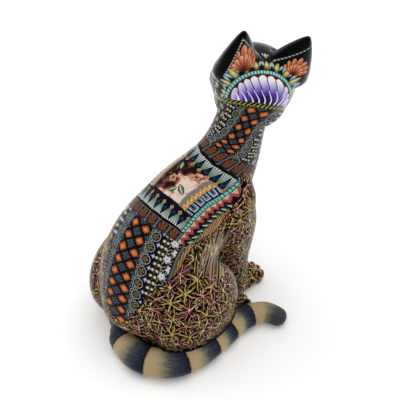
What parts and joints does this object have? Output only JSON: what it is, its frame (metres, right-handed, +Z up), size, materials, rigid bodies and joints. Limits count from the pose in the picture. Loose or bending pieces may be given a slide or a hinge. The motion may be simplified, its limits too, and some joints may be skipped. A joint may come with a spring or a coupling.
{
  "type": "seated cat ornament",
  "caption": "Seated cat sculpture in patterned polymer clay, head turned over its left shoulder, ringed tail curled round its right side.",
  "frame": {"origin": "on the floor under the middle of the piece's outline box", "axes": "+Z up; the cat's body faces -Y, its left is +X and its right, where the tail lies, is -X; the head is turned towards +X"},
  "size_m": [0.1038, 0.1436, 0.1801],
  "materials": {
    "polished_clay": "Hardened polymer clay with a coloured pattern laid into its skin, sanded and lacquered to a satin gloss. The solid has the pattern's dark ground colour."
  },
  "bodies": {
    "root": {"cat": "polished_clay"}
  },
  "joints": []
}
